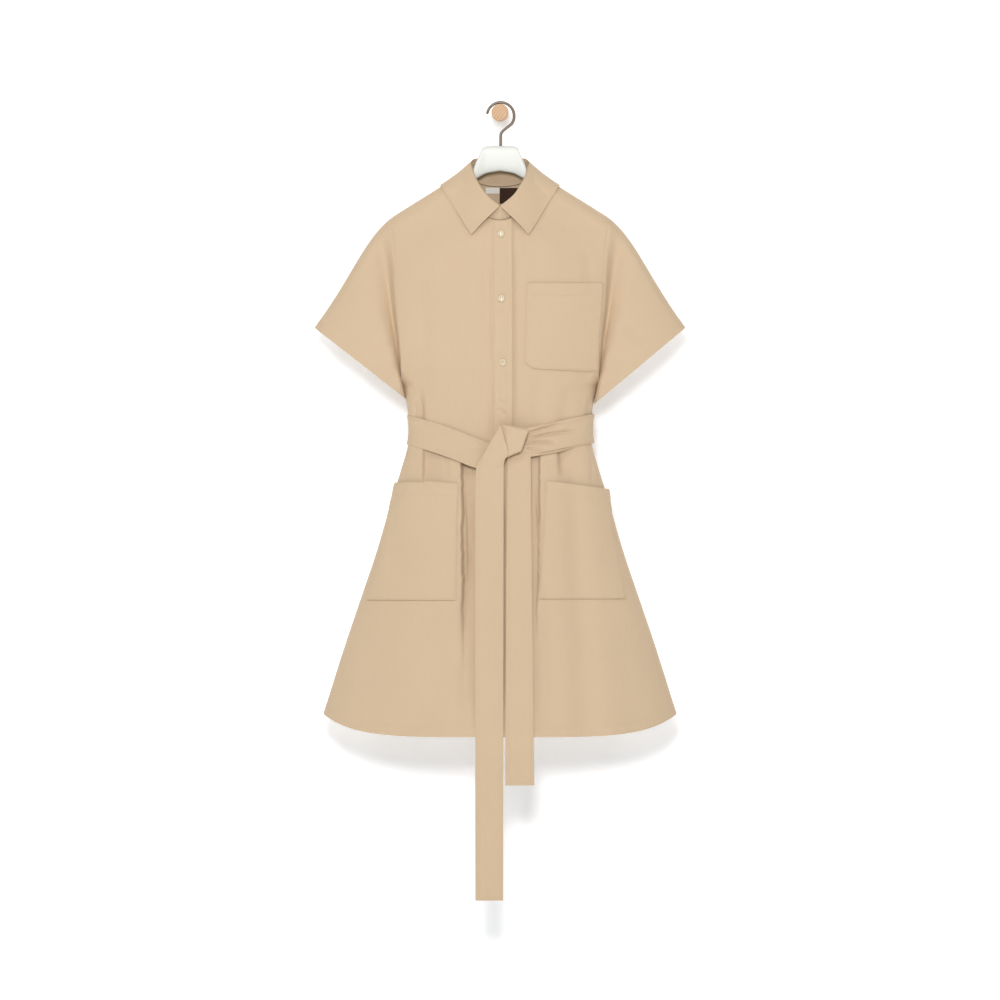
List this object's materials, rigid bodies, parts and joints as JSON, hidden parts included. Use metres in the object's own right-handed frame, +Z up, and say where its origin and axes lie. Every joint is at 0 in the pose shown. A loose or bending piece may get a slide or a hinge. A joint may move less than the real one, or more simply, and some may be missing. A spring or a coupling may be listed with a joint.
{
  "type": "shirt dress on a hanger with a wall peg",
  "caption": "Short-sleeved shirt dress with a pointed collar, button placket, patch pockets and a tied belt, on a hanger hooked over a round wall peg.",
  "frame": {"origin": "centre of the wall peg's flat back face, which lies on the wall", "axes": "+Z up; +Y into the wall, so the front of the dress faces -Y; +X to the right as seen from the front, the wearer's left"},
  "size_m": [0.594, 0.1702, 1.2786],
  "materials": {
    "cotton_cloth": "matt beige cotton, plain fine weave",
    "button_plastic": "off-white, softly shiny",
    "label_white": "woven satin tape",
    "label_dark": "dark woven patch",
    "hanger_plastic": "white, satin",
    "hook_metal": "warm grey metal wire",
    "peg_wood": "light wood, plain end grain"
  },
  "bodies": {
    "root": {"bodice_front_right": "cotton_cloth", "bodice_front_left": "cotton_cloth", "bodice_back": "cotton_cloth", "skirt_front": "cotton_cloth", "skirt_back": "cotton_cloth", "sleeve_right": "cotton_cloth", "sleeve_left": "cotton_cloth", "front_placket": "cotton_cloth", "chest_pocket": "cotton_cloth", "hip_pocket_right": "cotton_cloth", "hip_pocket_left": "cotton_cloth", "collar_stand": "cotton_cloth", "collar_leaf": "cotton_cloth", "belt_band": "cotton_cloth", "belt_knot": "cotton_cloth", "belt_end_long": "cotton_cloth", "belt_end_short": "cotton_cloth", "button_1": "button_plastic", "button_2": "button_plastic", "button_3": "button_plastic", "neck_label": "label_white", "size_label": "label_dark", "hanger_body": "hanger_plastic", "hanger_hook": "hook_metal", "wall_peg": "peg_wood"}
  },
  "joints": []
}
